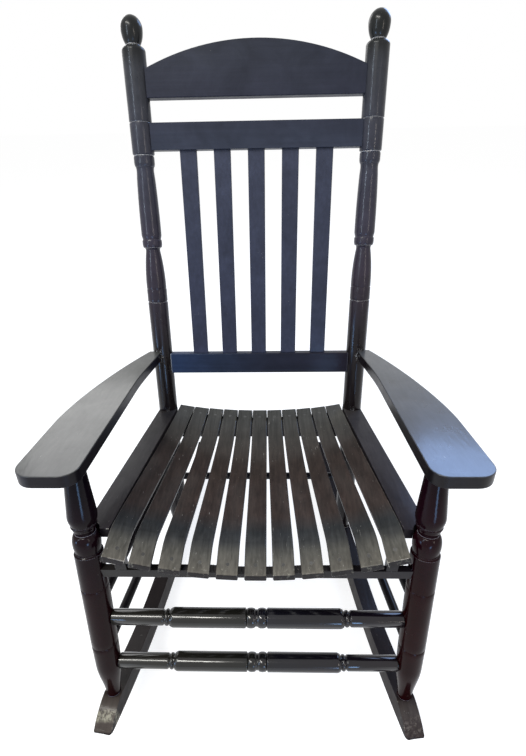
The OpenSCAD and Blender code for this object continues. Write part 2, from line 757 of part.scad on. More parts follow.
// Front rungs, turned about the X axis
half_rung = leg_x - leg_r;
half_rung_outline = concat(
    [[0, half_rung + rung_tenon_long], [rung_tenon_r, half_rung + rung_tenon_long], [rung_tenon_r, half_rung + 0.2]],
    [[rung_end_r, half_rung + 0.2]],
    [[rung_end_r, rung_main_half + rung_ring_wide + 3]],
    [[rung_end_r - 2.2, rung_main_half + rung_ring_wide]],
    bead_down(rung_main_half + rung_ring_wide - 1, rung_main_half + 3, rung_end_r - 2, rung_end_r + 0.4, 6),
    [[rung_end_r - 1.8, rung_main_half + 1.5]],
    [for (i = [0 : 4]) [rung_end_r + 0.6 + (rung_r - rung_end_r - 0.6) * sin(22.5 * i), rung_main_half + 1 - 1.6 * i]],
    [[rung_r, bead_half + 2.5], [rung_r - 2, bead_half + 1]],
    bead_down(bead_half, 2.2, rung_r - 2.6, rung_r, 8),
    [[rung_r - 2.8, 1.2]]);
function bead_down(h0, h1, r0, r1, n) =
    [for (i = [0 : n]) [r0 + (r1 - r0) * sin(180 * i / n), (h0 + h1) / 2 + (h0 - h1) / 2 * cos(180 * i / n)]];
rung_outline = concat(half_rung_outline, [for (i = [len(half_rung_outline) - 1 : -1 : 0])
    [half_rung_outline[i][0], -half_rung_outline[i][1]]]);

module front_rung(z) {
    color(paint) home() difference() {
        translate([0, leg_axis_y(z), z]) rotate([0, 90, 0]) rotate_extrude() polygon(rung_outline);
        for (side = [-1, 1]) difference() {
            leg_frame(side) translate([0, 0, leg_foot + 30]) cylinder(r = leg_r + seat_gap, h = 330);
            side_pin(side, leg_x, leg_r, leg_axis_y(z), z, rung_tenon_r, rung_tenon_long + 4, 0);
        }
    }
}

module rear_rung() {
    y = post_axis_y(rear_rung_z);
    color(paint) home() {
        for (side = [-1, 1]) side_pin(side, post_x, post_r, y, rear_rung_z, dowel_tenon_r, dowel_tenon_long, 0);
        difference() {
            translate([-post_x, y, rear_rung_z]) rotate([0, 90, 0]) cylinder(r = dowel_r, h = 2 * post_x);
            for (side = [-1, 1]) post_frame(side) translate([0, 0, post_foot + 60]) cylinder(r = post_r + seat_gap, h = 200);
        }
    }
}

// Rockers, drawn in their own plane; q is the distance back along the plank
rocker_turn = atan((leg_x - post_x) / (post_axis_y(60) - leg_axis_y(76)));
rocker_scale = cos(rocker_turn);
nose_y = rocker_front_y + 8;

function under_z(y) = rocker_r - sqrt(pow(rocker_r, 2) - pow((y - contact_y) / rocker_scale, 2));
function rocker_depth(y) =
    y < 60 ? rocker_leg_deep : y < 240 ? rocker_leg_deep + (rocker_deep - rocker_leg_deep) * smooth((y - 60) / 180)
    : y < 420 ? rocker_deep : rocker_deep - (rocker_deep - rocker_tail_deep) * smooth((y - 420) / (rocker_back_y - 420));
function top_z(y) = under_z(y) + rocker_depth(y);
rocker_span = rocker_back_y - 20 + 70;
rocker_outline = concat(
    [for (i = [0 : rocker_steps]) let (y = -70 + rocker_span * i / rocker_steps) [(y - leg_axis_y(76)) / rocker_scale, top_z(y)]],
    [for (i = [1 : 6]) [(rocker_back_y - 20 + 20 * sin(15 * i) - leg_axis_y(76)) / rocker_scale,
        top_z(rocker_back_y - 20) - 20 * (1 - cos(15 * i))]],
    [[(rocker_back_y - leg_axis_y(76)) / rocker_scale, -20], [(nose_y - leg_axis_y(76)) / rocker_scale, -20],
     [(nose_y - leg_axis_y(76)) / rocker_scale, under_z(nose_y)]],
    [for (i = [0 : 6]) [(rocker_front_y + 5 - 5 * sin(30 * i) - leg_axis_y(76)) / rocker_scale,
        under_z(nose_y) + 4.5 - 4.5 * cos(30 * i)]],
    [for (i = [1 : 8]) let (u = i / 8) [(rocker_front_y + 5 + (58 - 5) * u - leg_axis_y(76)) / rocker_scale,
        under_z(nose_y) + 9 + (top_z(-70) + 0.6 - under_z(nose_y) - 9) * pow(sin(90 * u), 0.8)]]);

// The rolled rocker is the longest piece from front to back, so its two ends centre the chair
function rolled_y(point) =
    let (y = leg_axis_y(76) + point[0] * rocker_scale)
    contact_y + (y - contact_y) * cos(rest_tilt) + (point[1] - rocker_r) * sin(rest_tilt);
rocker_ends = [for (point = rocker_outline) if (point[1] > 0) rolled_y(point)];
middle_y = (min(rocker_ends) + max(rocker_ends)) / 2;

// The planks converge, so a rolled rocker stands on the edge of its thickness
edge_drop = rocker_thick / 2 * sin(rocker_turn) * sin(rest_tilt);
rest_lift = edge_drop - rocker_r * (1 - sqrt(1 - pow(sin(rocker_turn) * sin(rest_tilt), 2)));

module rocker(side) {
    color(paint_warm) home() difference() {
        translate([side * leg_x, leg_axis_y(76), 0]) rotate([0, 0, side * rocker_turn]) rotate([90, 0, 90])
            translate([0, 0, -rocker_thick / 2]) intersection() {
                linear_extrude(height = rocker_thick) polygon(rocker_outline);
                translate([(contact_y - leg_axis_y(76)) / rocker_scale, rocker_r, -1])
                    cylinder(r = rocker_r, h = rocker_thick + 2, $fn = 720);
            }
        leg_foot_socket(side);
        post_foot_socket(side);
    }
}

module leg_foot_socket(side) {
    leg_frame(side) translate([0, 0, leg_foot - foot_tenon_long - tenon_gap])
        cylinder(r = foot_tenon_r + tenon_gap, h = 100);
    leg_frame(side) translate([0, 0, leg_foot - seat_gap]) cylinder(r = foot_r + 6, h = 60);
}

module post_foot_socket(side) {
    post_frame(side) translate([0, 0, post_foot - foot_tenon_long - tenon_gap])
        cylinder(r = foot_tenon_r + tenon_gap, h = 100);
    post_frame(side) translate([0, 0, post_foot - seat_gap]) cylinder(r = foot_r + 6, h = 60);
}

back_post(-1);  // left_back_post
back_post(1);  // right_back_post
crest_rail();
upper_back_rail();
lower_back_rail();
back_slat(1);  // back_slat_1
back_slat(2);  // back_slat_2
back_slat(3);  // back_slat_3
back_slat(4);  // back_slat_4
back_slat(5);  // back_slat_5
arm(-1);  // left_arm
arm(1);  // right_arm
front_leg(-1);  // left_front_leg
front_leg(1);  // right_front_leg
front_seat_rail();
rear_seat_rail();
seat_board(-1);  // left_seat_board
seat_board(1);  // right_seat_board
packing_block(-1, 1);  // left_packing_block_1
packing_block(-1, 2);  // left_packing_block_2
packing_block(-1, 3);  // left_packing_block_3
packing_block(1, 1);  // right_packing_block_1
packing_block(1, 2);  // right_packing_block_2
packing_block(1, 3);  // right_packing_block_3
seat_slat(1);  // seat_slat_1
seat_slat(2);  // seat_slat_2
seat_slat(3);  // seat_slat_3
seat_slat(4);  // seat_slat_4
seat_slat(5);  // seat_slat_5
seat_slat(6);  // seat_slat_6
seat_slat(7);  // seat_slat_7
seat_slat(8);  // seat_slat_8
seat_slat(9);  // seat_slat_9
seat_slat(10);  // seat_slat_10
seat_slat(11);  // seat_slat_11
stretcher(-1, upper_stretcher_z);  // left_upper_stretcher
stretcher(1, upper_stretcher_z);  // right_upper_stretcher
stretcher(-1, lower_stretcher_z);  // left_lower_stretcher
stretcher(1, lower_stretcher_z);  // right_lower_stretcher
rear_rung();
front_rung(upper_rung_z);  // upper_front_rung
front_rung(lower_rung_z);  // lower_front_rung
rocker(-1);  // left_rocker
rocker(1);  // right_rocker
seat_nails();
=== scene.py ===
import math

import bmesh
import bpy
from mathutils import Matrix, Vector


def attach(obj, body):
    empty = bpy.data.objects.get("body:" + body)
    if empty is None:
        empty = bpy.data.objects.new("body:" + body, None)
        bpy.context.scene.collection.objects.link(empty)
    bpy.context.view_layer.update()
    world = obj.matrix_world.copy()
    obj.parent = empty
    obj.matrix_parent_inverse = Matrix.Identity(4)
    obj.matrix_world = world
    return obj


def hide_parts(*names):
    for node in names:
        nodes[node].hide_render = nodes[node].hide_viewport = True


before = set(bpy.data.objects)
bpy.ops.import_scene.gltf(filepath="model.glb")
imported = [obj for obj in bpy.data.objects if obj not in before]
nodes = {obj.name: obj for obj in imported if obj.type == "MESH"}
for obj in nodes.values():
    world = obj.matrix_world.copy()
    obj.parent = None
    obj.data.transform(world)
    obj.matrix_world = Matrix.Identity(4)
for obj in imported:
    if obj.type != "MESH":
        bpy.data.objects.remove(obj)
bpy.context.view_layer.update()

# The source draws the chair level and rolls it back about the centre of the runners' arc.
# These are its rest_tilt, contact_y, rocker_r and middle_y, in radians and metres.
REST_TILT = math.radians(5.15)
CONTACT_Y = 0.212
ROCKER_R = 1.150
MIDDLE_Y = 0.178503
LEAN_BACK = Matrix.Rotation(-REST_TILT, 4, "X")
ROLL = (
    Matrix.Translation((0.0, CONTACT_Y - MIDDLE_Y, ROCKER_R))
    @ LEAN_BACK
    @ Matrix.Translation((0.0, -CONTACT_Y, -ROCKER_R))
)


def rolled(x, y, z):
    """A point of the level chair, in millimetres, at its place in the frame."""
    return ROLL @ Vector((x / 1000.0, y / 1000.0, z / 1000.0))


# Materials

# Pattern scales, in repeats per metre
WANDER, CLOUD, GLOSS_PATCH = 11, 17, 26
SCRATCH_PATCH, CHIP, CHIP_PATCH = 24, 250, 38
PALE_EDGE_PATCH, SCUFF_GLINT, STEEL_SPOT = 70, 120, 60
GRAIN_ALONG, GRAIN_ACROSS = 6, 170
ALONG_X = (GRAIN_ALONG, GRAIN_ACROSS, GRAIN_ACROSS)
ALONG_Y = (GRAIN_ACROSS, GRAIN_ALONG, GRAIN_ACROSS)
ALONG_Z = (GRAIN_ACROSS, GRAIN_ACROSS, GRAIN_ALONG)

# Hair scratches are longer and finer than the brush grain, by these factors
HAIR_LONGER, HAIR_FINER = 0.45, 3.2

# The span of noise values over which each layer comes in
NOISE_SPAN = (0.3, 0.72)
HAIR = (0.70, 0.74)
SCRATCHED = (0.62, 0.72)
CHIPPED = (0.74, 0.80)
PALE_EDGE_SPAN = (0.66, 0.72)
SCUFF_GLINT_SPAN = (0.56, 0.74)
GLOSS_SPAN = (0.3, 0.7)

CLOUD_DARK = (0.78, 0.78, 0.78, 1)
CLOUD_LIGHT = (1.28, 1.26, 1.24, 1)
SCRATCH_GREY = (0.34, 0.33, 0.31)
SCRATCH_STRENGTH = 0.7
CHIP_RIM = (0.12, 0.2)
EDGE_TURN = (0.90, 0.985)
PALE_EDGE_BEYOND = 0.15
SCUFF_GLINT_FULL, SCUFF_GLINT_NONE = 0.6, 1.2
GRAIN_DEPTH = 0.0007
GRAIN_BUMP = 0.22
STEEL_DULL = (0.026, 0.025, 0.023, 1)
STEEL_BARE = (0.055, 0.053, 0.049, 1)
BLACK = (0, 0, 0, 1)
WHITE = (1, 1, 1, 1)

# The colour sockets of Blender's Mix node
MIX_A, MIX_B, MIX_RESULT = 6, 7, 2


class Nodes:
    """Short calls for building a node tree. Values are passed on as (node, output) pairs."""

    def __init__(self, mat):
        self.tree = mat.node_tree
        self.tree.nodes.clear()

    def add(self, kind, **props):
        node = self.tree.nodes.new(kind)
        for key, value in props.items():
            setattr(node, key, value)
        return node

    def link(self, source, output, target, socket):
        self.tree.links.new(source.outputs[output], target.inputs[socket])


def mapping(n, coords, scale, offset, turn=0.0):
    """Pattern space, turned to the piece; scale is one number, or one for each direction."""
    scales = scale if isinstance(scale, (tuple, list)) else (scale,) * 3
    node = n.add("ShaderNodeMapping", vector_type="TEXTURE")
    node.inputs["Scale"].default_value = [1.0 / s for s in scales]
    node.inputs["Rotation"].default_value = (turn, 0.0, 0.0)
    node.inputs["Location"].default_value = offset
    n.link(coords, "Object", node, "Vector")
    return node


def noise(n, coords, scale, offset, detail, rough, distortion=0.0, turn=0.0):
    """Cloudy pattern in the piece's own pattern space."""
    node = n.add("ShaderNodeTexNoise")
    node.inputs["Scale"].default_value = 1.0
    node.inputs["Detail"].default_value = detail
    node.inputs["Roughness"].default_value = rough
    node.inputs["Distortion"].default_value = distortion
    n.link(mapping(n, coords, scale, offset, turn), "Vector", node, "Vector")
    return node


def ramp(n, source, out, low, high, first=BLACK, last=WHITE):
    """A run from one colour to another between two values of the source."""
    node = n.add("ShaderNodeValToRGB")
    start, end = node.color_ramp.elements
    start.position, end.position = low, high
    start.color, end.color = first, last
    n.link(source, out, node, "Fac")
    return node


def share(n, pattern, span, amount):
    """White where the pattern is high; a larger amount covers more of the piece."""
    return ramp(n, pattern, "Fac", span[0] - amount, span[1] - amount)


def mix(n, mask, black_side, white_side):
    """One colour where the mask is black and another where it is white, each fixed or a pair."""
    node = n.add("ShaderNodeMix", data_type="RGBA")
    n.link(*mask, node, 0)
    for socket, value in ((MIX_A, black_side), (MIX_B, white_side)):
        if isinstance(value[0], (int, float)):
            node.inputs[socket].default_value = value
        else:
            n.link(*value, node, socket)
    return (node, MIX_RESULT)


def number(n, operation, a, b):
    """Maths on two values, each a number or a pair."""
    node = n.add("ShaderNodeMath", operation=operation)
    for slot, value in enumerate((a, b)):
        if isinstance(value, (int, float)):
            node.inputs[slot].default_value = value
        else:
            n.link(*value, node, slot)
    return (node, 0)


def edge_mask(n, radius):
    """White where the surface turns sharply within the radius."""
    smooth = n.add("ShaderNodeBevel", samples=6)
    smooth.inputs["Radius"].default_value = radius
    plain = n.add("ShaderNodeNewGeometry")
    dot = n.add("ShaderNodeVectorMath", operation="DOT_PRODUCT")
    n.link(smooth, "Normal", dot, 0)
    n.link(plain, "Normal", dot, 1)
    return ramp(n, dot, "Value", *EDGE_TURN, WHITE, BLACK)


def between(n, source, low, high, to_low, to_high):
    """A value carried from one span to another."""
    node = n.add("ShaderNodeMapRange")
    node.inputs["From Min"].default_value = low
    node.inputs["From Max"].default_value = high
    node.inputs["To Min"].default_value = to_low
    node.inputs["To Max"].default_value = to_high
    n.link(*source, node, "Value")
    return (node, "Result")


def lay_over(n, mask, last, colour):
    """One more colour over the last one, where the mask is white."""
    return mix(n, mask, last, (*colour, 1))


def tone_along(n, coords, split, bands, axis, offset, drift):
    """Tone along the piece, with its borders wandering a little. On some pieces the tones hold painted
    highlight, reflection and shade.
    """
    wander = noise(n, coords, WANDER, offset, 4.0, 0.6, 0.4)
    sway = number(n, "MULTIPLY", number(n, "SUBTRACT", (wander, "Fac"), 0.5), drift)
    shifted = number(n, "ADD", (split, axis), sway)
    first, final = bands[0][0], bands[-1][0]
    along = between(n, shifted, first, final, 0.0, 1.0)
    tone = n.add("ShaderNodeValToRGB")
    while len(tone.color_ramp.elements) < len(bands):
        tone.color_ramp.elements.new(0.5)
    for element, (place, colour) in zip(tone.color_ramp.elements, bands):
        element.position = (place - first) / (final - first)
        element.color = (*colour, 1)
    n.link(*along, tone, "Fac")
    return (tone, "Color")


def painted_shade_on_sides(n, shader, last, side, shade_turn, shaded_side_coat, coat):
    """Painted shade: faces that don't look up get their own darker tone and less coat."""
    faces = n.add("ShaderNodeNewGeometry")
    split_normal = n.add("ShaderNodeSeparateXYZ")
    n.link(faces, "Normal", split_normal, "Vector")
    upward = ramp(n, split_normal, "Z", *shade_turn)
    level = between(n, (upward, "Color"), 0.0, 1.0, shaded_side_coat, coat)
    n.link(*level, shader, "Coat Weight")
    return mix(n, (upward, "Color"), (*side, 1), last)


def multiplied(n, last, layer):
    """The last colour times a pattern around one."""
    product = n.add("ShaderNodeMix", data_type="RGBA", blend_type="MULTIPLY")
    product.inputs[0].default_value = 1.0
    n.link(*last, product, MIX_A)
    n.link(layer, "Color", product, MIX_B)
    return (product, MIX_RESULT)


def scratched(n, coords, last, grain, offset, turn, amount):
    """Hair scratches along the grain, in patches."""
    hair_scale = [s * (HAIR_LONGER if s == GRAIN_ALONG else HAIR_FINER) for s in grain]
    hair = noise(n, coords, hair_scale, offset, 2.0, 0.5, 0.35, turn)
    thin = ramp(n, hair, "Fac", *HAIR)
    zone = share(n, noise(n, coords, SCRATCH_PATCH, offset, 3.0, 0.6), SCRATCHED, amount)
    hairs = number(n, "MULTIPLY", (thin, "Color"), (zone, "Color"))
    return lay_over(n, number(n, "MULTIPLY", hairs, SCRATCH_STRENGTH), last, SCRATCH_GREY)


def chipped(n, coords, last, offset, amount, bare):
    """Small round chips, in patches."""
    speck = n.add("ShaderNodeTexVoronoi")
    speck.inputs["Scale"].default_value = 1.0
    n.link(mapping(n, coords, CHIP, offset), "Vector", speck, "Vector")
    dots = ramp(n, speck, "Distance", *CHIP_RIM, WHITE, BLACK)
    zone = share(n, noise(n, coords, CHIP_PATCH, offset, 4.0, 0.65), CHIPPED, amount)
    return lay_over(n, number(n, "MULTIPLY", (dots, "Color"), (zone, "Color")), last, bare)


def worn_and_highlit_edges(n, coords, split, last, axis, offset, amount, zone, size, bare):
    """Pale edges, everywhere or mostly before a zone along the piece: worn paint, and on some pieces a
    painted highlight.
    """
    rubbed_and_lit = share(n, noise(n, coords, PALE_EDGE_PATCH, offset, 5.0, 0.7), PALE_EDGE_SPAN, amount)
    mask = number(n, "MULTIPLY", (edge_mask(n, size), "Color"), (rubbed_and_lit, "Color"))
    if zone:
        mask = number(n, "MULTIPLY", mask, between(n, (split, axis), *zone, 1.0, PALE_EDGE_BEYOND))
    return lay_over(n, mask, last, bare)


def scuff_and_glint_patch(n, coords, split, last, axis, offset, scuff_and_glint):
    """A mottled pale patch between two places along the piece: scraped paint, on some pieces partly a
    painted glint.
    """
    start, stop, amount, colour = scuff_and_glint
    middle, half = (start + stop) / 2, (stop - start) / 2
    away = number(n, "ABSOLUTE", number(n, "SUBTRACT", (split, axis), middle), 0.0)
    inside = between(n, away, half * SCUFF_GLINT_FULL, half * SCUFF_GLINT_NONE, 1.0, 0.0)
    rubbed_and_lit = share(n, noise(n, coords, SCUFF_GLINT, offset, 5.0, 0.7, 0.3), SCUFF_GLINT_SPAN, amount)
    return lay_over(n, number(n, "MULTIPLY", inside, (rubbed_and_lit, "Color")), last, colour)


def paint(
    name, bands, axis, grain, offset, turn=0.0, rough=(0.3, 0.42), coat=0.3, coat_rough=0.12, shine=0.3,
    streaks=0.16, chips=0.0, scratches=0.0, wear=0.0, pale_edge_zone=None, pale_edge_size=0.0025, side=None,
    shaded_side_coat=0.06, shade_turn=(0.45, 0.85), drift=0.10, scuff_and_glint=None, bare=(0.40, 0.37, 0.32),
):
    """Black paint over wood.

    bands: (place, colour) stops along one axis, and drift: how far their borders wander, in metres; on
    some pieces the bands hold painted highlight, reflection and shade
    grain, turn, streaks: direction, slope and strength of the brush marks
    rough, coat, shine: span of roughness, varnish weight and specular level
    chips, scratches, wear: how much of the piece has them, none at zero; the pale edges are worn paint,
    and on some pieces also a painted highlight
    side: the painted shade of the faces that look sideways or down, with shaded_side_coat as their varnish
    scuff_and_glint: (start, end, amount, colour) of one mottled pale patch along the axis, partly a
    painted glint on the seat and the left runner
    bare: the colour under chips and worn edges, and of the painted edge highlight
    """
    mat = bpy.data.materials.new(name)
    mat.use_nodes = True
    n = Nodes(mat)
    coords = n.add("ShaderNodeTexCoord")
    out = n.add("ShaderNodeOutputMaterial")
    shader = n.add("ShaderNodeBsdfPrincipled")
    n.link(shader, "BSDF", out, "Surface")
    shader.inputs["Specular IOR Level"].default_value = shine
    shader.inputs["Coat Weight"].default_value = coat
    shader.inputs["Coat Roughness"].default_value = coat_rough
    split = n.add("ShaderNodeSeparateXYZ")
    n.link(coords, "Object", split, "Vector")

    cloud = noise(n, coords, CLOUD, offset, 5.0, 0.62, 0.5)
    cloudy = ramp(n, cloud, "Fac", *NOISE_SPAN, CLOUD_DARK, CLOUD_LIGHT)
    fine = noise(n, coords, grain, offset, 5.0, 0.6, 0.2, turn)
    streak_dark, streak_light = (1 - streaks,) * 3 + (1,), (1 + streaks,) * 3 + (1,)
    streak = ramp(n, fine, "Fac", *NOISE_SPAN, streak_dark, streak_light)

    last = tone_along(n, coords, split, bands, axis, offset, drift)
    if side:
        last = painted_shade_on_sides(n, shader, last, side, shade_turn, shaded_side_coat, coat)
    last = multiplied(n, multiplied(n, last, cloudy), streak)
    if scratches > 0:
        last = scratched(n, coords, last, grain, offset, turn, scratches)
    if chips > 0:
        last = chipped(n, coords, last, offset, chips, bare)
    if wear > 0:
        last = worn_and_highlit_edges(n, coords, split, last, axis, offset, wear, pale_edge_zone, pale_edge_size, bare)
    if scuff_and_glint:
        last = scuff_and_glint_patch(n, coords, split, last, axis, offset, scuff_and_glint)
    n.link(*last, shader, "Base Color")

    worn = noise(n, coords, GLOSS_PATCH, offset, 5.0, 0.65)
    gloss = between(n, (worn, "Fac"), *GLOSS_SPAN, *rough)
    n.link(*gloss, shader, "Roughness")

    bump = n.add("ShaderNodeBump")
    bump.inputs["Strength"].default_value = GRAIN_BUMP
    bump.inputs["Distance"].default_value = GRAIN_DEPTH
    n.link(fine, "Fac", bump, "Height")
    n.link(bump, "Normal", shader, "Normal")
    n.link(bump, "Normal", shader, "Coat Normal")
    return mat


POST_LEAN = math.radians(8.9)
LEG_LEAN = math.radians(10.4)
POST_TURN = POST_LEAN + REST_TILT
LEG_TURN = LEG_LEAN + REST_TILT

# Which look the pieces with this word in their name share, the first word that fits
SHARED_LOOKS = {
    "packing_block": "rail", "back_post": "post", "seat_board": "board", "seat_slat": "seat",
    "back_slat": "slat", "lower_back_rail": "low_rail", "upper_back_rail": "back", "crest_rail": "back",
    "seat_rail": "rail", "front_rung": "rung", "rear_rung": "dowel", "stretcher": "dowel",
}

# One look for each kind of piece. Places are in metres in the frame, colours are linear.
LOOK = {
    # Posts: the nearly white edge layer at the rings and grooves is a painted highlight as well as worn
    # paint.
    "post": dict(
        bands=[
            (0.15, (0.006, 0.004, 0.005)), (0.55, (0.006, 0.004, 0.005)), (0.72, (0.024, 0.019, 0.031)),
            (0.90, (0.027, 0.028, 0.042)), (1.07, (0.027, 0.029, 0.036)), (1.10, (0.009, 0.010, 0.011)),
            (1.14, (0.007, 0.008, 0.008)),
        ],
        axis="Z", grain=ALONG_Z, turn=POST_TURN, rough=(0.24, 0.36), coat=0.2, shine=0.12, scratches=0.04,
        drift=0.03, wear=0.5, pale_edge_size=0.0022, bare=(0.70, 0.70, 0.72)),
    # Legs: the pale edges of the rings are a painted highlight as well as worn paint.
    "left_leg": dict(
        bands=[
            (0.05, (0.009, 0.0014, 0.0018)), (0.35, (0.008, 0.0014, 0.0022)),
            (0.60, (0.003, 0.002, 0.005)),
        ],
        axis="Z", grain=ALONG_Z, turn=LEG_TURN, rough=(0.18, 0.28), coat=0.16, coat_rough=0.10, shine=0.03,
        scratches=0.03, wear=0.5, pale_edge_size=0.0016, bare=(0.22, 0.22, 0.26)),
    "right_leg": dict(
        bands=[
            (0.05, (0.011, 0.0010, 0.0012)), (0.35, (0.009, 0.0008, 0.0010)),
            (0.60, (0.006, 0.0012, 0.004)),
        ],
        axis="Z", grain=ALONG_Z, turn=LEG_TURN, rough=(0.18, 0.28), coat=0.15, coat_rough=0.10, shine=0.03,
        scratches=0.03, wear=0.5, pale_edge_size=0.0016, bare=(0.20, 0.19, 0.22)),
    "back": dict(
        bands=[
            (0.50, (0.009, 0.016, 0.040)), (0.70, (0.016, 0.020, 0.040)), (0.95, (0.026, 0.031, 0.048)),
            (1.02, (0.021, 0.023, 0.036)), (1.14, (0.022, 0.025, 0.035)),
        ],
        axis="Z", grain=ALONG_X, rough=(0.36, 0.48), coat=0.05, shine=0.08, streaks=0.08, chips=0.02),
    # Low rail: the blue on its left end is a painted reflection, and its pale top edge on the left, made
    # with the edge layer, is a painted highlight.
    "low_rail": dict(
        bands=[
            (-0.21, (0.017, 0.031, 0.072)), (-0.10, (0.014, 0.021, 0.042)), (0.02, (0.011, 0.013, 0.024)),
            (0.21, (0.010, 0.008, 0.014)),
        ],
        axis="X", grain=ALONG_X, rough=(0.36, 0.48), coat=0.05, shine=0.08, drift=0.05, wear=0.30,
        pale_edge_zone=(-0.16, 0.02), bare=(0.30, 0.33, 0.38)),
    "slat": dict(
        bands=[(0.50, (0.021, 0.025, 0.048)), (0.98, (0.029, 0.034, 0.056))],
        axis="Z", grain=ALONG_Z, turn=POST_TURN, rough=(0.34, 0.46), coat=0.1, shine=0.14, scratches=0.03),
    # Arms: the grey top of the left arm is partly a painted reflection, and the faces that don't look up
    # get painted shade.
    "left_arm": dict(
        bands=[
            (-0.34, (0.020, 0.023, 0.030)), (-0.26, (0.050, 0.052, 0.052)), (0.12, (0.045, 0.048, 0.045)),
            (0.22, (0.042, 0.044, 0.044)),
        ],
        axis="Y", grain=ALONG_Y, rough=(0.30, 0.42), coat=0.4, shine=0.12, scratches=0.06, wear=0.02,
        side=(0.005, 0.004, 0.006), shade_turn=(0.25, 0.88), shaded_side_coat=0.05, bare=(0.20, 0.19, 0.18)),
    # The right arm's blue tone is a painted reflection.
    "right_arm": dict(
        bands=[
            (-0.34, (0.020, 0.026, 0.040)), (-0.16, (0.030, 0.036, 0.050)), (0.04, (0.048, 0.053, 0.060)),
            (0.22, (0.055, 0.058, 0.060)),
        ],
        axis="Y", grain=ALONG_Y, rough=(0.26, 0.38), coat=0.6, shine=0.15, scratches=0.06, wear=0.02,
        side=(0.005, 0.004, 0.005), shade_turn=(0.25, 0.88), shaded_side_coat=0.05, bare=(0.20, 0.19, 0.18)),
    # Seat: the light band on the front roll is a painted highlight and the dark band just behind it
    # painted shade; the dark end faces are painted shade, and the pale patch and edges on the front lips
    # are worn paint with some painted glint.
    "seat": dict(
        bands=[
            (-0.285, (0.092, 0.084, 0.070)), (-0.250, (0.066, 0.064, 0.056)),
            (-0.232, (0.030, 0.031, 0.031)), (-0.205, (0.018, 0.020, 0.022)),
            (-0.165, (0.032, 0.022, 0.019)), (0.00, (0.028, 0.020, 0.017)), (0.10, (0.028, 0.026, 0.023)),
            (0.15, (0.036, 0.036, 0.033)), (0.195, (0.034, 0.035, 0.032)),
        ],
        axis="Y", grain=ALONG_Y, rough=(0.28, 0.42), coat=0.22, shine=0.10, streaks=0.38, scratches=0.12,
        drift=0.03, chips=0.05, wear=0.20, pale_edge_zone=(-0.2795, -0.270), side=(0.010, 0.008, 0.009),
        scuff_and_glint=(-0.2825, -0.271, -0.015, (0.24, 0.23, 0.19)), bare=(0.46, 0.43, 0.38)),
    # Boards: the dark faces that don't look up are painted shade.
    "board": dict(
        bands=[(-0.25, (0.024, 0.020, 0.024)), (0.20, (0.034, 0.032, 0.033))],
        axis="Y", grain=ALONG_Y, coat=0.06, shine=0.06, scratches=0.06, chips=0.04, wear=0.10,
        pale_edge_zone=(-0.24, -0.20), side=(0.008, 0.006, 0.008)),
    # Rails: lighter towards the left end, a painted highlight.
    "rail": dict(
        bands=[(-0.3, (0.013, 0.012, 0.011)), (0.3, (0.008, 0.006, 0.009))],
        axis="X", grain=ALONG_X, coat=0.35, shine=0.03, chips=0.03, wear=0.05),
    # Rungs: the lighter left end is a painted highlight; the right end is darker.
    "rung": dict(
        bands=[
            (-0.27, (0.013, 0.012, 0.010)), (-0.02, (0.006, 0.006, 0.005)), (0.02, (0.004, 0.004, 0.007)),
            (0.27, (0.004, 0.002, 0.004)),
        ],
        axis="X", grain=ALONG_X, rough=(0.16, 0.26), coat=0.75, coat_rough=0.09, shine=0.06,
        scratches=0.03),
    "dowel": dict(
        bands=[(-0.3, (0.009, 0.008, 0.009)), (0.3, (0.009, 0.008, 0.010))],
        axis="Y", grain=ALONG_Y, rough=(0.24, 0.36), coat=0.12, shine=0.06),
    # Runners: the pale tip band is partly scraped paint and partly a painted highlight on the crown; the
    # faces that don't look up get painted shade.
    "left_rocker": dict(
        bands=[
            (-0.407, (0.050, 0.040, 0.034)), (-0.372, (0.062, 0.052, 0.045)),
            (-0.345, (0.026, 0.020, 0.018)), (-0.32, (0.010, 0.007, 0.007)), (0.42, (0.009, 0.007, 0.008)),
        ],
        axis="Y", grain=ALONG_Y, drift=0.02, coat=0.1, shine=0.03, side=(0.007, 0.004, 0.005),
        shaded_side_coat=0.0, scratches=0.10, chips=0.05, wear=0.04,
        scuff_and_glint=(-0.389, -0.371, 0.16, (0.27, 0.25, 0.19))),
    "right_rocker": dict(
        bands=[
            (-0.407, (0.030, 0.022, 0.022)), (-0.372, (0.050, 0.042, 0.040)),
            (-0.345, (0.020, 0.015, 0.016)), (-0.32, (0.010, 0.007, 0.008)), (0.42, (0.009, 0.007, 0.008)),
        ],
        axis="Y", grain=ALONG_Y, drift=0.03, streaks=0.3, coat=0.1, shine=0.03, side=(0.008, 0.004, 0.005),
        shaded_side_coat=0.0, scratches=0.08, chips=0.05, wear=0.06,
        scuff_and_glint=(-0.404, -0.372, 0.06, (0.11, 0.095, 0.085))),
}


def look_of(name):
    """The look of a piece. Arms, legs and runners have one for each side."""
    own = name.replace("front_", "")
    return next((look for word, look in SHARED_LOOKS.items() if word in name), own)


def offset_of(index):
    """A fixed, well spread shift of the pattern for each piece, in metres."""
    return [index * step % span * 0.1 for step, span in ((3.17, 11.0), (5.71, 13.0), (1.93, 7.0))]


def nail_steel():
    """Dull dark steel with a few barer spots."""
    mat = bpy.data.materials.new("nail_steel")
    mat.use_nodes = True
    n = Nodes(mat)
    out = n.add("ShaderNodeOutputMaterial")
    shader = n.add("ShaderNodeBsdfPrincipled")
    shader.inputs["Roughness"].default_value = 0.45
    coords = n.add("ShaderNodeTexCoord")
    spots = noise(n, coords, STEEL_SPOT, (0, 0, 0), 3.0, 0.6)
    tone = ramp(n, spots, "Fac", 0.52, 0.60, STEEL_DULL, STEEL_BARE)
    n.link(tone, "Color", shader, "Base Color")
    n.link(shader, "BSDF", out, "Surface")
    return mat


# Pieces

